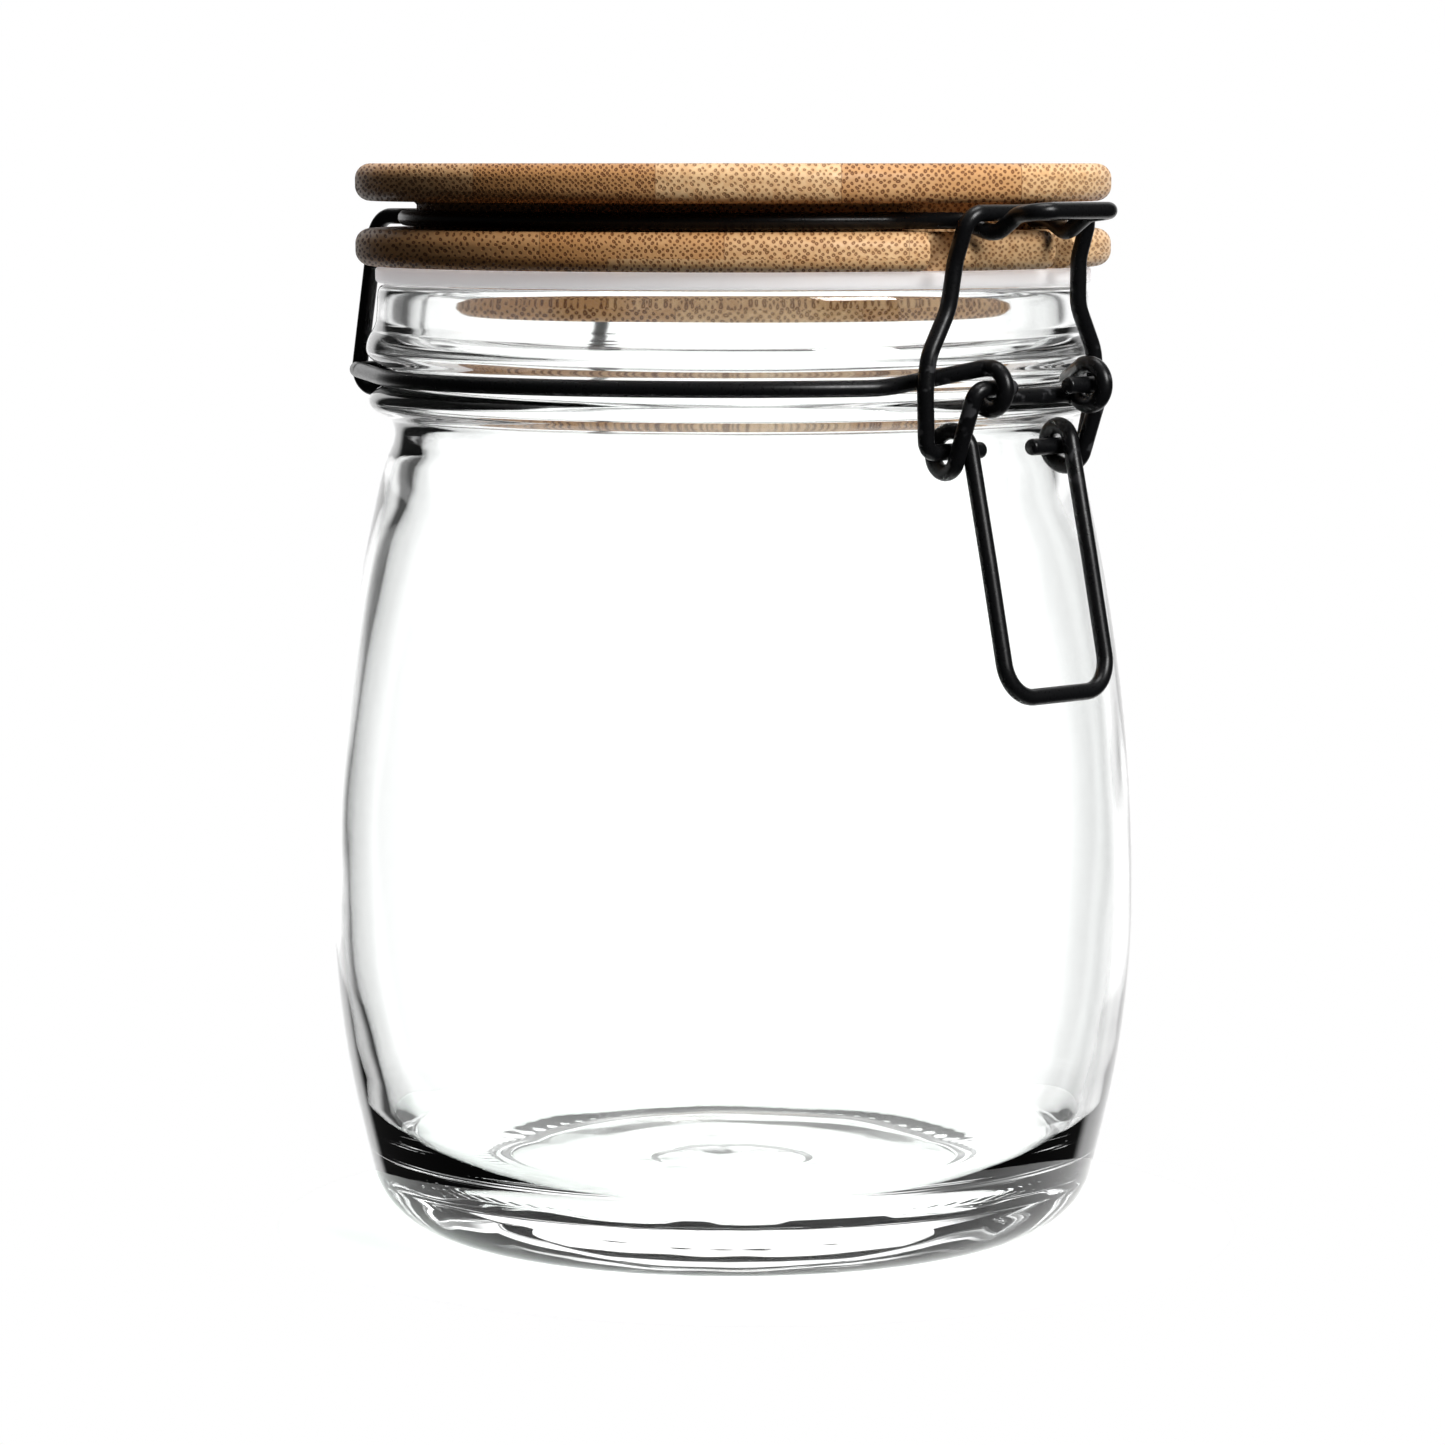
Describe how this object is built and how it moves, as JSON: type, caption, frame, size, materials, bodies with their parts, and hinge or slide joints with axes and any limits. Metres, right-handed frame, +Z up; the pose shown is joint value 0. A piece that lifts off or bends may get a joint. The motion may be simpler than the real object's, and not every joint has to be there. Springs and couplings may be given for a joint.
{
  "type": "lidded glass canister",
  "caption": "Swing-top glass storage canister with a turned bamboo lid, silicone seal and over-centre latch of bent black wire.",
  "frame": {"origin": "on the surface it stands on, under the middle of the outer box; the jar's own axis is 4.3 mm behind it, at +Y", "axes": "+Z up along the jar's axis, -Y toward the latch, +Y toward the lid's hinge, +X to the side"},
  "size_m": [0.107, 0.1156, 0.1415],
  "materials": {
    "clear_glass": "clear, faintly grey-green soda-lime glass, polished",
    "bamboo": "laminated bamboo, fine sanded and oiled",
    "silicone": "milky translucent silicone",
    "black_wire": "satin black powder coat on steel wire"
  },
  "bodies": {
    "jar": {"glass_jar": "clear_glass", "neck_wire": "black_wire"},
    "lid": {"bamboo_lid": "bamboo", "seal_ring": "silicone", "lid_wire": "black_wire"},
    "lever": {"latch_lever": "black_wire"},
    "bail": {"latch_bail": "black_wire"}
  },
  "joints": [
    {"name": "lid_hinge", "type": "hinge", "parent": "jar", "child": "lid", "pos_m": [0, 0.0526, 0.1136], "axis": [-1, 0, 0], "range_deg": [0, 170]},
    {"name": "lever_pivot", "type": "hinge", "parent": "jar", "child": "lever", "pos_m": [0, -0.0503, 0.1136], "axis": [-1, 0, 0], "range_deg": [0, 140], "deforming": ["latch_bail"]},
    {"name": "bail_pivot", "type": "hinge", "parent": "lever", "child": "bail", "pos_m": [0, -0.0446, 0.1056], "axis": [-1, 0, 0], "range_deg": [-143, 0]}
  ],
  "couplings": [
    {"joint": "bail_pivot", "follows": "lever_pivot", "ratio": -1.02}
  ]
}
